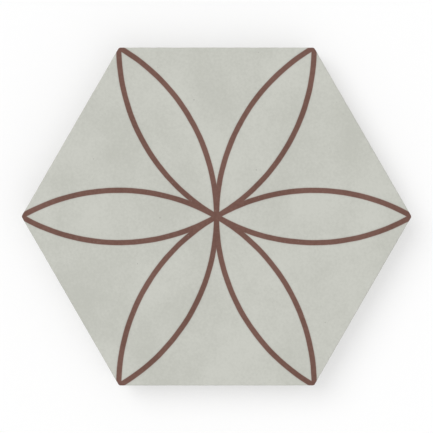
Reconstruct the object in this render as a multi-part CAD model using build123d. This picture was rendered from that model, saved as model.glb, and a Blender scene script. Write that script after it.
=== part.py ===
"""Hexagonal encaustic cement tile: one slab of pigmented cement and mortar, pressed in a steel frame.

Units are millimetres. The tile lies face up, with the middle of its back at the origin and +Z up.
Two opposite corners lie on the X axis and two opposite sides are square to the Y axis.
"""

from build123d import *
from math import atan2, degrees
import os

# Driving dimensions
SIDE_LENGTH = 100.0  # one side of the face, which is also the distance from its centre to a corner
THICKNESS = 16.0  # back to face
BACK_SETBACK = 0.8  # how far each side leans in from face to back, so that the face is the widest level
CORNER_RADIUS = 1.5  # rounding of the six upright corners, seen from above
FACE_ARRIS = 0.5  # rounding of the edge round the face
BACK_BEVEL = 1.0  # bevel that the press ram leaves round the back

SIDES = 6
PARTS_FOLDER = "parts"


def pressed_blank():
    """The slab as the mould frame shapes it: a hexagon with sides that lean in towards the back."""
    outline = RegularPolygon(radius=SIDE_LENGTH, side_count=SIDES)
    slab = extrude(outline, amount=THICKNESS)
    walls = slab.faces().filter_by(Axis.Z, reverse=True)
    lean = degrees(atan2(BACK_SETBACK, THICKNESS))
    face_looking_down = Plane(origin=(0, 0, THICKNESS), z_dir=(0, 0, -1))
    return draft(walls, face_looking_down, lean)


def ease_edges(slab):
    """Rounds the upright corners, then the edge of the face, and bevels the edge of the back."""
    upright_edges = slab.edges().filter_by(lambda edge: edge.bounding_box().size.Z > THICKNESS / 2)
    slab = fillet(upright_edges, radius=CORNER_RADIUS)
    slab = fillet(slab.faces().sort_by(Axis.Z)[-1].edges(), radius=FACE_ARRIS)
    return chamfer(slab.faces().sort_by(Axis.Z)[0].edges(), length=BACK_BEVEL)


def main():
    tile = ease_edges(pressed_blank())
    os.makedirs(PARTS_FOLDER, exist_ok=True)
    export_step(tile, os.path.join(PARTS_FOLDER, "cement_tile.step"))
    print("cement_tile volume", round(tile.volume), "mm3, size", tile.bounding_box().size)


main()
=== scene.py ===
# %% [markdown]
# A hexagonal encaustic cement tile
#
# The real tile is pressed and never fired. Its maker sets a brass divider into a steel mould, pours
# coloured cement into the cells, lifts the divider out, fills the mould up with dry sand and cement,
# and presses it all once. What comes out is one piece: a few millimetres of colour on a sandy backing.
# This lesson builds that piece as one closed mesh, gives it one procedural material, and sets it on a
# white floor under a camera that looks straight down.

# %% [markdown]
# The frame
#
# The size of the tile is settled before Blender starts, in a solid model. We could type its sizes in
# again, but two lists of sizes drift apart. So we load the solid, keep its box for the last cell, and
# measure from it what the rest of the lesson needs.

# %% Load the solid tile and measure it
import math

import bpy
import numpy as np
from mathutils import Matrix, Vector, noise


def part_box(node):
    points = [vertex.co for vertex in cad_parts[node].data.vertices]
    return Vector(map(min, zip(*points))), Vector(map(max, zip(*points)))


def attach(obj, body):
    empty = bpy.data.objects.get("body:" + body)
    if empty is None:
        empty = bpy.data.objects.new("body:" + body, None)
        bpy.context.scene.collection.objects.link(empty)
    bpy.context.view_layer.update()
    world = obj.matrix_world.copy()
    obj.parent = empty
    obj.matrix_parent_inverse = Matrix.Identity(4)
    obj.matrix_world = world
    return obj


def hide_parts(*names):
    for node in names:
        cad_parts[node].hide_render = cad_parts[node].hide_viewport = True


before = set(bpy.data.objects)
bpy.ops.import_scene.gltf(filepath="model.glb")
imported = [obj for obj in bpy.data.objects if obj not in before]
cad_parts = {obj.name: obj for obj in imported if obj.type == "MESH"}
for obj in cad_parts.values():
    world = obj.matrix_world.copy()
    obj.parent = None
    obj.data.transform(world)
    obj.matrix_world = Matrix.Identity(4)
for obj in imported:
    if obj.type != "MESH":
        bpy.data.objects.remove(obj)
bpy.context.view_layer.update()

MM = 0.001
COS_30 = math.cos(math.radians(30))
tile_low, tile_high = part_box("cement_tile")
THICKNESS = tile_high.z - tile_low.z
HALF_WIDTH = (tile_high.y - tile_low.y) / 2
SIDE_LENGTH = HALF_WIDTH / COS_30
print(f"{THICKNESS / MM:.1f} mm thick, {2 * HALF_WIDTH / MM:.1f} mm from side to side")

# %% [markdown]
# The outline of the mould
#
# The steel mould gives the tile its outline: six straight walls that meet in slightly rounded corners.
# A six-sided cylinder with a Bevel modifier would have that outline too, but its points would lie far
# apart along the walls, and later we want to roughen them. So we lay the points ourselves, one ring
# for each height, as close together as the roughness needs.

# %% A ring of points round the mould
SIXTH_TURN = 60
CORNERS = range(0, 360, SIXTH_TURN)
CORNER_STEPS = 4
WALL_STEPS = 190


def direction(degrees):
    """A step of length 1 in plan, with 0 degrees along +X."""
    return np.array((math.cos(math.radians(degrees)), math.sin(math.radians(degrees))))


def mould_ring(inset, height, corner_radius):
    """Points round the tile at one height, anticlockwise, with rounded corners."""
    reach = (HALF_WIDTH - inset - corner_radius) / COS_30
    plan = []
    for corner in CORNERS:
        bends = np.linspace(corner - SIXTH_TURN / 2, corner + SIXTH_TURN / 2, CORNER_STEPS + 1)
        plan += [reach * direction(corner) + corner_radius * direction(bend) for bend in bends]
        wall_end = reach * direction(corner + SIXTH_TURN) + corner_radius * direction(bends[-1])
        plan += list(np.linspace(plan[-1], wall_end, WALL_STEPS + 1)[1:-1])
    return [(x, y, height) for x, y in plan]


print("points in one ring round the walls:", len(mould_ring(0, 0, MM)))

# %% [markdown]
# The section of the edge
#
# Cut through the edge of a cement tile and you see four things: the flat face, the small rounded edge
# round it that masons call the arris, a wall that leans in a little towards the back, and a bevel that
# the press leaves round the back. A Bevel modifier could round the arris but not lean the wall. So we
# write the section as rows, each an inset, a height and a corner radius. One more row close inside
# each edge keeps the flat parts flat under smooth shading, as a support loop does in modelling by hand.

# %% Rows from the face down to the back
CORNER_RADIUS = 1.5 * MM
FACE_ARRIS, ARRIS_STEPS = 0.5 * MM, 4
WALL_LEAN, WALL_ROWS = 0.05, 27
BACK_BEVEL, BEVEL_ROWS = 1.0 * MM, 2
SUPPORT = 0.4 * MM


def edge_section():
    """Rows of (inset, height, corner radius) from the rim of the face to the rim of the back."""
    rows = [(FACE_ARRIS + SUPPORT, THICKNESS, CORNER_RADIUS - FACE_ARRIS)]
    for tilt in np.radians(np.linspace(90, 0, ARRIS_STEPS + 1)):
        inset = FACE_ARRIS * (1 - math.cos(tilt))
        rows.append((inset, THICKNESS - FACE_ARRIS * (1 - math.sin(tilt)), CORNER_RADIUS - inset))
    wall_top = THICKNESS - FACE_ARRIS
    for height in np.linspace(wall_top, BACK_BEVEL, WALL_ROWS + 1)[1:]:
        rows.append((WALL_LEAN * (wall_top - height), height, CORNER_RADIUS))
    wall_foot = rows[-1][0]
    for bevel in np.linspace(0, BACK_BEVEL, BEVEL_ROWS + 1)[1:]:
        rows.append((wall_foot + bevel, BACK_BEVEL - bevel, CORNER_RADIUS - bevel))
    rows.append((wall_foot + BACK_BEVEL + SUPPORT, 0.0, CORNER_RADIUS - BACK_BEVEL))
    return rows


print("rows in the section:", len(edge_section()))

# %% [markdown]
# The flat face and back
#
# Inside the rim, the face and the back are plain flat hexagons. One big polygon each would do for a
# shape that is only flat, but the back is sandy and has pits, so it needs points all over. Each ring
# has six points fewer than the one outside it, down to a single point in the centre, which spreads
# them evenly. The face stays smooth, so it gets half as many rings as the back.

# %% All rings of the tile
FACE_RINGS, BACK_RINGS = 50, 100
FACE_MARGIN, BACK_MARGIN = 3.0 * MM, 1.5 * MM


def flat_ring(reach, steps, height):
    """A sharp-cornered hexagon of points, with that many steps to a side."""
    plan = []
    for corner in CORNERS:
        side_start, side_end = reach * direction(corner), reach * direction(corner + SIXTH_TURN)
        plan += list(np.linspace(side_start, side_end, steps, endpoint=False))
    return [(x, y, height) for x, y in plan]


def tile_rings():
    """Every ring in turn: out over the face, down the wall and back in under the tile."""
    section = edge_section()
    face_step = (HALF_WIDTH - FACE_MARGIN) / COS_30 / FACE_RINGS
    back_step = (HALF_WIDTH - section[-1][0] - BACK_MARGIN) / COS_30 / BACK_RINGS
    rings = [[(0.0, 0.0, THICKNESS)]]
    rings += [flat_ring(face_step * steps, steps, THICKNESS) for steps in range(1, FACE_RINGS + 1)]
    rings += [mould_ring(*row) for row in section]
    rings += [flat_ring(back_step * steps, steps, 0.0) for steps in range(BACK_RINGS, 0, -1)]
    return rings + [[(0.0, 0.0, 0.0)]]


print("rings in all:", len(tile_rings()))

# %% [markdown]
# Stitching rings together
#
# Face, wall and back of a pressed tile run into each other, so each ring has to be joined to the next.
# Two rings with the same number of points join up as squares. Where they differ, we walk round both at
# once and always step on along the one that lags behind, which leaves a neat strip of triangles.
# Blender's Bridge Edge Loops does this too, but it has to guess where to start. Our own few lines
# always start at the same corner and give the same mesh on every run.

# %% Faces between two rings
def stitch(first, first_count, second, second_count):
    """Faces between two rings, each given by the number of its first point and its count."""
    if first_count == second_count:
        pairs = [(here, (here + 1) % first_count) for here in range(first_count)]
        return [(first + here, second + here, second + ahead, first + ahead) for here, ahead in pairs]
    strip = []
    first_end = first_count if first_count > 1 else 0
    second_end = second_count if second_count > 1 else 0
    here, there = 0, 0
    while here < first_end or there < second_end:
        near, far = first + here % first_count, second + there % second_count
        second_lags = (there + 1) * first_count <= (here + 1) * second_count
        if here == first_end or (there < second_end and second_lags):
            there += 1
            strip.append((near, far, second + there % second_count))
        else:
            here += 1
            strip.append((near, far, first + here % first_count))
    return strip


print("strip between rings of 6 and 12 points:", len(stitch(0, 6, 6, 12)), "triangles")

# %% [markdown]
# The skin of the tile
#
# A pressed tile is solid, but Blender only draws surfaces, so the tile is one closed skin. We could
# keep the face, the walls and the back as three objects. The real tile has no seams between them,
# though, and one skin lets the shading run round the arris unbroken.

# %% Make the mesh
points, faces = [], []
ring_start, ring_count = 0, 0
for ring in tile_rings():
    if ring_count:
        faces += stitch(ring_start, ring_count, len(points), len(ring))
    ring_start, ring_count = len(points), len(ring)
    points += ring

skin = bpy.data.meshes.new("cement_tile_skin")
skin.from_pydata(points, [], faces)
skin.shade_smooth()
print("skin:", len(points), "points,", sum(len(face) - 2 for face in faces), "triangles")

# %% [markdown]
# A map for baking
#
# When the tile leaves Blender, its colours are painted onto a flat square picture, and a UV map says
# where each face of the mesh lies in it. Smart UV Project would cut the tile up for us, but it doesn't
# know that the patterned face matters most. We give the face most of the room, the back less, and each
# of the six walls a strip. A wall runs the way that the corner after next lies, as every side of a
# hexagon does. All this is done while the tile is still smooth, because the way a face of the mesh
# looks then tells which of the three it belongs to. The map is called OFBake.

# %% Lay the tile out flat
FACE_SPOT, FACE_SCALE = (0.427, 0.631), 4.2
BACK_SPOT, BACK_SCALE = (0.156, 0.136), 1.5
STRIP_SPOT, STRIP_PITCH, STRIP_SCALE = (0.484, 0.010), (0.340, 0.086), (3.3, 4.9)
FLAT_ENOUGH = 0.5


def place_on_map(point, way):
    """Where a point goes in the unit square, on a face of the mesh that looks that way."""
    if way.z > FLAT_ENOUGH:
        return FACE_SPOT[0] + FACE_SCALE * point.x, FACE_SPOT[1] + FACE_SCALE * point.y
    if way.z < -FLAT_ENOUGH:
        return BACK_SPOT[0] - BACK_SCALE * point.x, BACK_SPOT[1] + BACK_SCALE * point.y
    wall = int(math.degrees(math.atan2(way.y, way.x)) % 360 // SIXTH_TURN)
    along = direction(SIXTH_TURN * (wall + 2))
    run = along[0] * point.x + along[1] * point.y
    row, column = divmod(wall, 2)
    return (STRIP_SPOT[0] + STRIP_PITCH[0] * column + STRIP_SCALE[0] * run,
            STRIP_SPOT[1] + STRIP_PITCH[1] * row + STRIP_SCALE[1] * point.z)


spots = np.zeros((len(skin.loops), 2), np.float32)
for polygon in skin.polygons:
    for loop in polygon.loop_indices:
        spots[loop] = place_on_map(skin.vertices[skin.loops[loop].vertex_index].co, polygon.normal)
skin.uv_layers.new(name="OFBake").data.foreach_set("uv", spots.ravel())
print("map reaches from", spots.min(0).round(3), "to", spots.max(0).round(3))

# %% [markdown]
# Colour above, mortar below
#
# The coloured slurry is poured about four millimetres deep and the dry mortar is shaken over it, so the
# border between the two is never quite level. We could cut the mesh in two there, but the real border
# is no joint: the layers are one. We let its height wander with two noises, one long and one short, and
# store it on every point of the mesh. The relief and the material both read it, so they change at
# the same line.

# %% Height of the border
COLOUR_DEPTH = 4.0 * MM
LONG_WAVE, LONG_RISE = 17 * MM, 0.6 * MM
SHORT_WAVE, SHORT_RISE = 4 * MM, 0.3 * MM


def mortar_top(point):
    """Height of the top of the mortar under this place."""
    plan = Vector((point.x, point.y, 0))
    rise = LONG_RISE * noise.noise(plan / LONG_WAVE) + SHORT_RISE * noise.noise(plan / SHORT_WAVE)
    return THICKNESS - COLOUR_DEPTH + rise


tops = np.array([mortar_top(vertex.co) for vertex in skin.vertices], np.float32)
skin.attributes.new("mortar_top", "FLOAT", "POINT").data.foreach_set("value", tops)
print(f"mortar reaches up to between {tops.min() / MM:.2f} and {tops.max() / MM:.2f} mm")

# %% [markdown]
# Sand
#
# Dry mortar never fills the mould as sharply as slurry does. Its surface is gritty, with a slow swell
# where it was packed more or less tightly. A Displace modifier with a cloud texture makes such a
# surface, but it would roughen the fine coloured layer as well. So we work out a depth for each point
# in Python, where it can depend on anything we know about that point.

# %% Depth of the sandy surface
GRIT_SIZE, GRIT_DEPTH = 1.5 * MM, 0.16 * MM
SWELL_SIZE, SWELL_DEPTH = 7 * MM, 0.12 * MM
NOISE_GAIN, MIDDLE = 0.7, 0.5


def unit_noise(point, size):
    """Smooth noise from 0 to 1, with bumps of about that size."""
    return min(1.0, max(0.0, MIDDLE + NOISE_GAIN * noise.noise(point / size)))


def sand_depth(point):
    """How far the mortar stays short of the mould at this place."""
    return GRIT_DEPTH * unit_noise(point, GRIT_SIZE) + SWELL_DEPTH * unit_noise(point, SWELL_SIZE)


print(f"sand sinks up to {(GRIT_DEPTH + SWELL_DEPTH) / MM:.2f} mm")

# %% [markdown]
# Pits
#
# Air that was caught against the mould leaves small round pits in the mortar. Each could be cut out
# with a Boolean, but hundreds of those are slow and leave bad faces. Voronoi noise is simpler: it
# scatters centres through space, tells how far each place is from the nearest one, and where the
# distance is short enough there is a pit. A second noise gives each centre a size of its own.

# %% How far a place lies in a pit
PIT_SPACING, PIT_DEPTH = 4.6 * MM, 0.8 * MM
PIT_LEAST, PIT_SPREAD, PIT_SHUFFLE = 0.10, 0.22, 3.7
PIT_WALL = 0.8


def soft_step(value, low, high):
    """0 below low, 1 above high and a smooth slope between them."""
    share = min(1.0, max(0.0, (value - low) / (high - low)))
    return share * share * (3 - 2 * share)


def pit(point):
    """0 outside the pits, 1 on the floor of one."""
    distances, centres = noise.voronoi(point / PIT_SPACING)
    reach = PIT_LEAST + PIT_SPREAD * abs(noise.noise(centres[0] * PIT_SHUFFLE))
    return soft_step(1 - distances[0] / reach, 0.0, PIT_WALL)


share_in_pits = np.mean([pit(vertex.co) > 0 for vertex in skin.vertices])
print(f"{share_in_pits:.1%} of the points lie in a pit")

# %% [markdown]
# The arris
#
# The coloured layer is dense and smooth, but its arris is thin, and on a real tile it is never a ruled
# line. A Bevel modifier would rule it. Plain noise along the whole edge would look like a saw, so the
# noise is squared, which leaves long clean stretches with a shallow dip here and there, and it fades
# out before it reaches the flat of the face.

# %% How far the arris dips
ARRIS_ZONE = 1.0 * MM
DIP_SIZE, DIP_DEPTH = 2.6 * MM, 0.12 * MM
FACE_TILT = 0.05


def arris_depth(point, way):
    """Depth of the dips in the arris: nothing on the flat face or low on the wall."""
    near_face = soft_step(point.z, THICKNESS - ARRIS_ZONE, THICKNESS - FACE_ARRIS)
    off_face = soft_step(1 - way.z, 0.0, FACE_TILT)
    return near_face * off_face * DIP_DEPTH * unit_noise(point, DIP_SIZE) ** 2


print(f"the arris dips by {DIP_DEPTH / MM:.2f} mm at most")

# %% [markdown]
# Sinking the points
#
# Now every point moves inwards along its own normal, by the depth that its place calls for. Sculpting
# would do it by eye, but a formula does it the same way each time. Points only ever sink, so the tile
# never grows past its mould. How far each point lies in a pit is stored too, for the material.

# %% Sink the points of the skin
BORDER_BLUR = 0.5 * MM

holes = np.zeros(len(skin.vertices), np.float32)
depths = np.zeros(len(skin.vertices))
ways = [vertex.normal.copy() for vertex in skin.vertices]
for number, vertex in enumerate(skin.vertices):
    point, top = vertex.co, tops[number]
    sandy = 1 - soft_step(point.z, top - BORDER_BLUR, top + BORDER_BLUR)
    if sandy > 0:
        holes[number] = sandy * pit(point)
        depths[number] = sandy * sand_depth(point) + PIT_DEPTH * holes[number]
    else:
        depths[number] = arris_depth(point, ways[number])
for vertex, way, sink in zip(skin.vertices, ways, depths):
    vertex.co -= way * sink
skin.attributes.new("pit", "FLOAT", "POINT").data.foreach_set("value", holes)
skin.update()
print(f"the deepest point lies {depths.max() / MM:.2f} mm under the wall of the mould")

# %% [markdown]
# A material to fill
#
# All that is left of the finish is finer than the mesh: colour, grains, pores and sheen. It could be
# painted as a picture, but a picture has a fixed sharpness. Nodes work everything out from the place on
# the tile, at any distance. A net of nodes can be clicked together by hand. In a script the first move
# is always the same: set a socket to a plain value or link it to another node, so that gets a helper.

# %% Start the material
cement = bpy.data.materials.new("pressed_cement")
cement.use_nodes = True
net = cement.node_tree
net.nodes.clear()


def feed(socket, value):
    """Links a socket to another node's output, or sets it to a plain value."""
    if isinstance(value, bpy.types.NodeSocket):
        net.links.new(value, socket)
    else:
        socket.default_value = value


place = net.nodes.new("ShaderNodeTexCoord").outputs["Object"]
split = net.nodes.new("ShaderNodeSeparateXYZ")
feed(split.inputs[0], place)
height = split.outputs["Z"]
print("material", cement.name, "starts with", len(net.nodes), "nodes")

# %% [markdown]
# Helpers for sums
#
# The pattern and the layers are sums with places and heights. Typed as nodes they take four lines each,
# and the recipe drowns in them. A Script node could hold a whole formula, but it needs a render setting
# of its own. So each kind of sum gets a helper that makes one node and hands back its output.

# %% Sums with numbers and places
def maths(operation, *values):
    """One Math node."""
    step = net.nodes.new("ShaderNodeMath")
    step.operation = operation
    for socket, value in zip(step.inputs, values):
        feed(socket, value)
    return step.outputs[0]


def vector_maths(operation, *values):
    """One Vector Math node: a number comes out for a distance, a place for all else."""
    step = net.nodes.new("ShaderNodeVectorMath")
    step.operation = operation
    for socket, value in zip(step.inputs, values):
        feed(socket, value)
    return step.outputs["Value" if operation == "DISTANCE" else "Vector"]


depth = maths("SUBTRACT", THICKNESS, height)
print("a sum is one node; the net now has", len(net.nodes))

# %% [markdown]
# Helpers for blending
#
# Cement has no hard edges: colours creep into each other and grains lie half under the paste. A Color
# Ramp makes such soft edges, but its stops hide the sizes. Map Range takes them as plain numbers, so we
# can write a soft edge in millimetres. The Mix node does the rest. It has sockets of its own for each
# kind of value, so we note which ones belong to numbers and which to colours.

# %% Slopes and mixes
MIX_SOCKETS = {"FLOAT": ((0, 2, 3), 0), "RGBA": ((0, 6, 7), 2)}


def slope(value, low, high, start=0.0, end=1.0):
    """A Map Range node with soft ends: start below low, end above high."""
    step = net.nodes.new("ShaderNodeMapRange")
    step.interpolation_type = "SMOOTHSTEP"
    for socket, number in zip(step.inputs, (value, low, high, start, end)):
        feed(socket, number)
    return step.outputs[0]


def mix(kind, share, first, second):
    """A Mix node: the first value where share is 0, the second where it is 1."""
    step = net.nodes.new("ShaderNodeMix")
    step.data_type = kind
    inputs, output = MIX_SOCKETS[kind]
    for socket, value in zip(inputs, (share, first, second)):
        feed(step.inputs[socket], value)
    return step.outputs[output]


def mix_number(share, first, second):
    """A number between two others."""
    return mix("FLOAT", share, first, second)


def mix_colour(share, first, second):
    """A colour between two others."""
    return mix("RGBA", share, first, second)


print("slopes and mixes are ready")

# %% [markdown]
# Helpers for chance
#
# Three kinds of chance make cement: clouds of tone, things pushed a little out of line, and dots strewn
# about. Blender has a Noise Texture for the first two and a Voronoi Texture for the third. Their Scale
# counts features to a metre, so the helpers turn it over and take a size instead. The Detail of a cloud
# says how much finer cloud lies in it. A dot's radius is drawn between a least and a most, and where it
# comes out below zero there is no dot. Dots are round, and grains and pores are not, so their dots are
# looked up at a shaken place.

# %% Clouds, shakes and dots
PLAIN, BROKEN, FINE, FINEST = 2.0, 3.0, 4.0, 6.0


def cloud(where, size, detail=PLAIN, output="Fac"):
    """A Noise Texture with clouds of about that size."""
    step = net.nodes.new("ShaderNodeTexNoise")
    feed(step.inputs["Vector"], where)
    step.inputs["Scale"].default_value = 1 / size
    step.inputs["Detail"].default_value = detail
    return step.outputs[output]


def shaken(where, size, swing):
    """The same place, pushed about by a cloud, which bends straight or round things a little."""
    push = vector_maths("SUBTRACT", cloud(where, size, BROKEN, "Color"), (MIDDLE, MIDDLE, MIDDLE))
    return vector_maths("ADD", where, vector_maths("MULTIPLY", push, swing))


def dots(where, spacing, least, most, rim):
    """How far a place lies in a dot, from 0 to 1 over the width of its rim, and that dot's tone."""
    step = net.nodes.new("ShaderNodeTexVoronoi")
    feed(step.inputs["Vector"], where)
    step.inputs["Scale"].default_value = 1 / spacing
    tones = net.nodes.new("ShaderNodeSeparateColor")
    feed(tones.inputs[0], step.outputs["Color"])
    radius = maths("MULTIPLY_ADD", tones.outputs["Green"], most - least, least)
    inside = maths("MULTIPLY_ADD", step.outputs["Distance"], -spacing, radius)
    return slope(inside, 0.0, rim), tones.outputs["Red"]


UNEVEN_SIZE, UNEVEN_SWING = 0.7 * MM, (0.9 * MM, 0.9 * MM, 0.9 * MM)
uneven = shaken(place, UNEVEN_SIZE, UNEVEN_SWING)
print("clouds, shakes and dots are ready")

# %% [markdown]
# Lines drawn with a compass
#
# The pattern is one of the oldest that a compass draws. Open it to the length of a side, set its point
# on each corner of the hexagon in turn, and six arcs through the middle make six petals. Curves laid on
# the face would stand proud of it, while real encaustic lines are level with the ground and go down
# through the whole coloured layer. So we ask for a distance: how far a place is from each corner, less
# the radius, is how far it is from that arc. The wet slurry slumps a little under the face, so the
# place is shaken more the deeper it lies.

# %% Distance to the nearest line
LINE_WIDTH = 2.8 * MM
WOBBLE_SIZE, HAND_WOBBLE = 9 * MM, 0.35 * MM
SLUMP = 0.7

swing = maths("MULTIPLY_ADD", depth, SLUMP, HAND_WOBBLE)
flat_place = vector_maths("MULTIPLY", shaken(place, WOBBLE_SIZE, swing), (1, 1, 0))
from_line = SIDE_LENGTH
for corner in CORNERS:
    compass_point = (*(SIDE_LENGTH * direction(corner)), 0.0)
    from_arc = maths("SUBTRACT", vector_maths("DISTANCE", flat_place, compass_point), SIDE_LENGTH)
    from_line = maths("MINIMUM", from_line, maths("ABSOLUTE", from_arc))
print(f"six arcs of radius {SIDE_LENGTH / MM:.1f} mm, drawn {LINE_WIDTH / MM:.1f} mm wide")

# %% [markdown]
# Two pigments
#
# A pale grey-green ground and a red-brown line are all the colour there is. Pigment in cement is never
# one flat tone: it clouds as the slurry settles, and it is finely grained where stone dust shows
# through. One noise would look like a print, so each pigment is two close tones, mixed by clouds of two
# sizes. The lines get a narrow soft edge and a faint stain, where one wet colour crept into the other.

# %% Colour of the slurry
GROUND_PALE, GROUND_DEEP = (0.588, 0.594, 0.543, 1), (0.512, 0.518, 0.469, 1)
LINE_PALE, LINE_DEEP = (0.182, 0.094, 0.075, 1), (0.134, 0.064, 0.048, 1)
SETTLE_SIZE, GRAIN_SIZE, SETTLE_WEIGHT = 24 * MM, 1.3 * MM, 0.6
TONE_LOW, TONE_HIGH = 0.32, 0.68
CREEP = 0.22 * MM
STAIN_REACH, STAIN_SHARE = 1.1 * MM, 0.10

settled = cloud(place, SETTLE_SIZE, FINE)
grained = cloud(place, GRAIN_SIZE, FINE)
tone = slope(mix_number(SETTLE_WEIGHT, grained, settled), TONE_LOW, TONE_HIGH)
ground = mix_colour(tone, GROUND_DEEP, GROUND_PALE)
line = mix_colour(tone, LINE_DEEP, LINE_PALE)
inked = slope(from_line, LINE_WIDTH / 2 - CREEP, LINE_WIDTH / 2 + CREEP, 1.0, 0.0)
stained = slope(from_line, LINE_WIDTH / 2, LINE_WIDTH / 2 + STAIN_REACH, STAIN_SHARE, 0.0)
pigment = mix_colour(maths("MAXIMUM", inked, stained), ground, line)
print("ground", GROUND_PALE[:3], "and line", LINE_PALE[:3])

# %% [markdown]
# Marble dust and pinholes
#
# The slurry is made with marble dust, and close up its coarsest specks show, some paler and some
# darker than the colour. Here and there a bubble burst and left a pinhole, and the shade in it is
# painted in as a dark dot, with a shallow dip of bump. A noise with a hard threshold gives blots of
# any size, and these have a size, so both are dots. They stay faint and few: from a step away the face
# should look plain.

# %% Specks in the face
SPECK_SPACING, SPECK_LEAST, SPECK_MOST, SPECK_RIM = 1.6 * MM, 0.0, 0.36 * MM, 0.12 * MM
SPECK_SHARE, SPECK_PALE, SPECK_DARK = 0.09, (0.70, 0.69, 0.62, 1), (0.30, 0.29, 0.26, 1)
HOLE_SPACING, HOLE_LEAST, HOLE_MOST, HOLE_RIM = 6.0 * MM, -0.20 * MM, 0.36 * MM, 0.10 * MM
HOLE_SHARE, HOLE_SHADE = 0.55, (0.16, 0.15, 0.135, 1)

speck, speck_tone = dots(uneven, SPECK_SPACING, SPECK_LEAST, SPECK_MOST, SPECK_RIM)
speck_colour = mix_colour(speck_tone, SPECK_DARK, SPECK_PALE)
pigment = mix_colour(maths("MULTIPLY", speck, SPECK_SHARE), pigment, speck_colour)
# Pinholes are painted shade: a dark dot where a small hole would hold shadow.
pinhole, _ = dots(uneven, HOLE_SPACING, HOLE_LEAST, HOLE_MOST, HOLE_RIM)
pigment = mix_colour(maths("MULTIPLY", pinhole, HOLE_SHARE), pigment, HOLE_SHADE)
print(f"specks up to {2 * SPECK_MOST / MM:.2f} mm, pinholes up to {2 * HOLE_MOST / MM:.2f} mm wide")

# %% [markdown]
# Paste and sand
#
# Grey cement paste and sand fill the rest of the mould. One colour with noise on it looks like felt,
# while real mortar shows grains, each of its own tone, bedded in the paste. Dots of two sizes give the
# grains. They are uneven, and because the mould pressed them flat they rise very little.

# %% Colour of the mortar
PASTE_PALE, PASTE_DEEP = (0.345, 0.335, 0.303, 1), (0.255, 0.246, 0.221, 1)
PASTE_CLOUD, PASTE_LOW, PASTE_HIGH = 9 * MM, 0.33, 0.67
SAND_PALE, SAND_DARK = (0.48, 0.455, 0.40, 1), (0.16, 0.15, 0.133, 1)
SAND_SIZES, SAND_SHARE = (0.9 * MM, 0.5 * MM), 0.55
SAND_LEAST, SAND_MOST, SAND_RIM, SAND_RISE = 0.10, 0.62, 0.14, 0.04

paste_tone = slope(cloud(place, PASTE_CLOUD, FINEST), PASTE_LOW, PASTE_HIGH)
mortar = mix_colour(paste_tone, PASTE_DEEP, PASTE_PALE)
sand_relief = 0.0
for size in SAND_SIZES:
    grain, grain_tone = dots(uneven, size, SAND_LEAST * size, SAND_MOST * size, SAND_RIM * size)
    sand = mix_colour(grain_tone, SAND_DARK, SAND_PALE)
    mortar = mix_colour(maths("MULTIPLY", grain, SAND_SHARE), mortar, sand)
    sand_relief = maths("MULTIPLY_ADD", grain, SAND_RISE * size, sand_relief)
print("mortar with sand of", [size / MM for size in SAND_SIZES], "mm")

# %% [markdown]
# Pores and pits
#
# Mortar that is pressed almost dry is full of pores about as wide as its grains. They are too small for
# the mesh, so they are dots again, sunk by bump and darkened with painted shade. The larger pits are in
# the mesh already. Their floors get the same painted shade, and the number that we stored on the points
# tells the material where they are.

# %% Dark pores
PORE_SPACING, PORE_LEAST, PORE_MOST, PORE_RIM = 1.7 * MM, 0.0, 0.50 * MM, 0.20 * MM
PORE_SHARE, PORE_DEPTH = 0.85, 0.25 * MM
PIT_SHADE = (0.10, 0.094, 0.083, 1)


def stored(name):
    """A number kept on the points of the mesh."""
    step = net.nodes.new("ShaderNodeAttribute")
    step.attribute_name = name
    return step.outputs["Fac"]


pore, _ = dots(uneven, PORE_SPACING, PORE_LEAST, PORE_MOST, PORE_RIM)
sand_relief = maths("MULTIPLY_ADD", pore, -PORE_DEPTH, sand_relief)
# Painted shade on the floors of the pores and of the pits in the mesh.
painted_pit_shade = maths("MAXIMUM", maths("MULTIPLY", pore, PORE_SHARE), stored("pit"))
mortar = mix_colour(painted_pit_shade, mortar, PIT_SHADE)
print(f"pores up to {2 * PORE_MOST / MM:.1f} mm wide")

# %% [markdown]
# Where the layers meet
#
# The border stored on the points is a smooth line, and a Greater Than node at that height would make
# the colour look like a strip of tape. The real border is crumbly, so a fine cloud is added to the
# height before the two are compared. Just above it the colour has taken up some grey from the mortar.
# Below it thin colour ran down the wall of the mould before the mortar drank its water, and it left
# pale streaks: a cloud that is stretched upright, fading as it goes down.

# %% Join the layers
CRUMB_SIZE, CRUMB_RISE = 1.1 * MM, 0.8 * MM
BORDER_EDGE = 0.15 * MM
SOAK_REACH, SOAK_SHARE = 1.4 * MM, 0.25
STREAK_SIZE, STREAK_STRETCH = 2.4 * MM, (1, 1, 0.16)
STREAK_LOW, STREAK_HIGH = 0.52, 0.68
STREAK_REACH, STREAK_SHARE = 5.0 * MM, 0.40

crumbs = maths("SUBTRACT", cloud(place, CRUMB_SIZE), MIDDLE)
above = maths("MULTIPLY_ADD", crumbs, CRUMB_RISE, maths("SUBTRACT", height, stored("mortar_top")))
coloured = slope(above, -BORDER_EDGE, BORDER_EDGE)
soaked = mix_colour(slope(above, 0.0, SOAK_REACH, SOAK_SHARE, 0.0), pigment, PASTE_PALE)
stretched = vector_maths("MULTIPLY", place, STREAK_STRETCH)
runs = slope(cloud(stretched, STREAK_SIZE), STREAK_LOW, STREAK_HIGH)
streaks = maths("MULTIPLY", runs, slope(above, -STREAK_REACH, 0.0, 0.0, STREAK_SHARE))
colour = mix_colour(coloured, mix_colour(streaks, mortar, pigment), soaked)
print(f"streaks reach {STREAK_REACH / MM:.1f} mm below the border")

# %% [markdown]
# Sheen and fine relief
#
# The face is smooth with a dull sheen, the mortar rough. One roughness for each would do, but a real
# face shines unevenly, so its roughness drifts with the same clouds as its colour. Relief that is finer
# than the mesh could be modelled only with millions of points. It goes in as bump instead, with its
# height in metres and a Distance of 1, so that it stays true to size.

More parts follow.
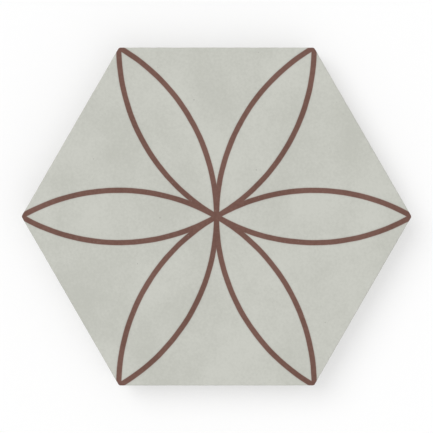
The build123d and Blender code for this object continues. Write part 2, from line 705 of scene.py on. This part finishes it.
# %% Roughness and bump
FACE_ROUGHNESS, MORTAR_ROUGHNESS, SHEEN_DRIFT = 0.70, 0.92, 0.25
FACE_TOOTH, HOLE_DEPTH = 0.02 * MM, 0.03 * MM

drift = maths("MULTIPLY_ADD", maths("SUBTRACT", settled, MIDDLE), SHEEN_DRIFT, FACE_ROUGHNESS)
roughness = mix_number(coloured, MORTAR_ROUGHNESS, drift)
face_relief = maths("MULTIPLY_ADD", pinhole, -HOLE_DEPTH, maths("MULTIPLY", grained, FACE_TOOTH))
bump = net.nodes.new("ShaderNodeBump")
bump.inputs["Distance"].default_value = 1.0
feed(bump.inputs["Height"], mix_number(coloured, sand_relief, face_relief))
print("the face is", FACE_ROUGHNESS, "rough, the mortar", MORTAR_ROUGHNESS)

# %% [markdown]
# The shader
#
# Colour, roughness and relief meet in one Principled shader. A Diffuse shader would be near enough for
# the mortar, but the face has that little sheen. Cement is porous and reflects less than glass or
# glaze, so the specular level is low. It is the same all over, so it is a plain number on the shader.

# %% Close the net
SPECULAR = 0.25

surface = net.nodes.new("ShaderNodeBsdfPrincipled")
feed(surface.inputs["Base Color"], colour)
feed(surface.inputs["Roughness"], roughness)
feed(surface.inputs["Normal"], bump.outputs[0])
surface.inputs["Specular IOR Level"].default_value = SPECULAR
feed(net.nodes.new("ShaderNodeOutputMaterial").inputs["Surface"], surface.outputs[0])
skin.materials.append(cement)
print("material", cement.name, "has", len(net.nodes), "nodes")

# %% [markdown]
# The tile in its frame
#
# The new skin takes the place of the plain solid: the solid is hidden and stays for collision, and the
# skin rides on the same body. It could be moved into place by hand, but both were made in one frame, so
# nothing has to move.

# %% Put the tile in place
tile = bpy.data.objects.new("hexagonal_cement_tile", skin)
bpy.context.scene.collection.objects.link(tile)
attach(tile, "root")
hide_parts("cement_tile")
print(tile.name, "stands for the solid node cement_tile")

# %% [markdown]
# A white floor
#
# The tile is shown on pure white. More light would bleach the floor, and the tile with it. So the white
# comes from the floor's own paint: it is fully white where it is looked at, and a little darker for the
# light that it throws back at the tile. With white paint alone, the shadow comes out as grey as the
# tile, and the outline is lost in it. So part of what is looked at is a glow of strength 1, on which no
# shadow falls, and the shadow that is left is soft and pale. The floor is a wide disc, so no edge of it
# shows. Our helpers add their nodes to net, so for each new material we point net at its own tree.

# %% Floor
FLOOR_REACH, FLOOR_STEP = 3.0, 5
BOUNCE = (0.8, 0.8, 0.8, 1)
WHITE = (1, 1, 1, 1)
GLOW_SHARE = 0.4


def looked_at():
    """1 for rays from the camera, and for those by way of a shiny or clear surface."""
    path = net.nodes.new("ShaderNodeLightPath").outputs
    shiny_or_clear = maths("MAXIMUM", path["Is Glossy Ray"], path["Is Transmission Ray"])
    return maths("MAXIMUM", path["Is Camera Ray"], shiny_or_clear)


rim = [(*(FLOOR_REACH * direction(turn)), 0.0) for turn in range(0, 360, FLOOR_STEP)]
floor_mesh = bpy.data.meshes.new("floor")
floor_mesh.from_pydata(rim, [], [range(len(rim))])
floor = bpy.data.objects.new("floor", floor_mesh)
bpy.context.scene.collection.objects.link(floor)

white_paint = bpy.data.materials.new("white_floor")
white_paint.use_nodes = True
net = white_paint.node_tree
net.nodes.clear()
matt = net.nodes.new("ShaderNodeBsdfDiffuse")
feed(matt.inputs["Color"], mix_colour(looked_at(), BOUNCE, WHITE))
glow = net.nodes.new("ShaderNodeEmission")
paint = net.nodes.new("ShaderNodeMixShader")
feed(paint.inputs[0], maths("MULTIPLY", looked_at(), GLOW_SHARE))
feed(paint.inputs[1], matt.outputs[0])
feed(paint.inputs[2], glow.outputs[0])
feed(net.nodes.new("ShaderNodeOutputMaterial").inputs["Surface"], paint.outputs[0])
floor_mesh.materials.append(white_paint)
print("floor is", 2 * FLOOR_REACH, "m across")

# %% [markdown]
# Two wide suns
#
# A tile is flat, so it needs light with a direction to show its edge, but not a hard shadow. Area lamps
# are the usual choice. Close by, they light the floor unevenly, and then it is no longer white all over.
# A sun is even everywhere, and a wide one is as soft as a large window. The strong one comes from the
# upper left of the picture and the weak one from the lower right.

# %% Suns
KEY_SHARE, KEY_WAY, KEY_SPREAD = 0.29, (-0.50, 0.42, 0.76), 45
FILL_SHARE, FILL_WAY, FILL_SPREAD = 0.13, (0.45, -0.65, 0.61), 70


def sun(name, share, way, spread):
    """A wide sun, seen that way from the tile, that gives a level surface that share of plain light."""
    towards = Vector(way).normalized()
    lamp = bpy.data.lights.new(name, "SUN")
    lamp.energy = math.pi * share / towards.z
    lamp.angle = math.radians(spread)
    holder = bpy.data.objects.new(name, lamp)
    holder.rotation_euler = towards.to_track_quat("Z", "Y").to_euler()
    bpy.context.scene.collection.objects.link(holder)


sun("window", KEY_SHARE, KEY_WAY, KEY_SPREAD)
sun("reflector", FILL_SHARE, FILL_WAY, FILL_SPREAD)
print("the suns give a level surface", KEY_SHARE + FILL_SHARE, "of its light")

# %% [markdown]
# An even sky
#
# The rest of the light comes evenly from all round, as in a white room. A box of white walls would give
# it too, but slowly and with noise. The world does it at once. Its share and those of the suns add up
# to one on a level surface, so a colour comes out about as it was written. Looked at, it is white.

# %% Sky
SKY_SHARE = 1 - KEY_SHARE - FILL_SHARE

sky = bpy.data.worlds.new("sky")
bpy.context.scene.world = sky
sky.use_nodes = True
net = sky.node_tree
net.nodes.clear()
sky_light = net.nodes.new("ShaderNodeBackground")
sky_light.inputs["Color"].default_value = WHITE
feed(sky_light.inputs["Strength"], mix_number(looked_at(), SKY_SHARE, 1.0))
feed(net.nodes.new("ShaderNodeOutputWorld").inputs["Surface"], sky_light.outputs[0])
print(f"the sky gives a level surface {SKY_SHARE:.2f} of its light")

# %% [markdown]
# The camera
#
# The photograph looks straight down with no sign of perspective. An orthographic camera would match
# that, but turned to the side it flattens the tile. A long lens high above the middle looks almost the
# same from here and natural from anywhere else. Its distance follows from how much of the picture
# the tile should fill.

# %% Camera straight above
LENS, SENSOR = 100, 36
PICTURE_SHARE = 0.90

camera_data = bpy.data.cameras.new("camera")
camera_data.lens = LENS
camera_data.sensor_width = SENSOR
camera = bpy.data.objects.new("camera", camera_data)
picture_width = (tile_high.x - tile_low.x) / PICTURE_SHARE
camera.location = (0, 0, tile_high.z + picture_width * LENS / SENSOR)
bpy.context.scene.collection.objects.link(camera)
bpy.context.scene.camera = camera
bpy.context.scene.view_settings.view_transform = "Standard"
print(f"camera hangs {camera.location.z:.3f} m over the floor")
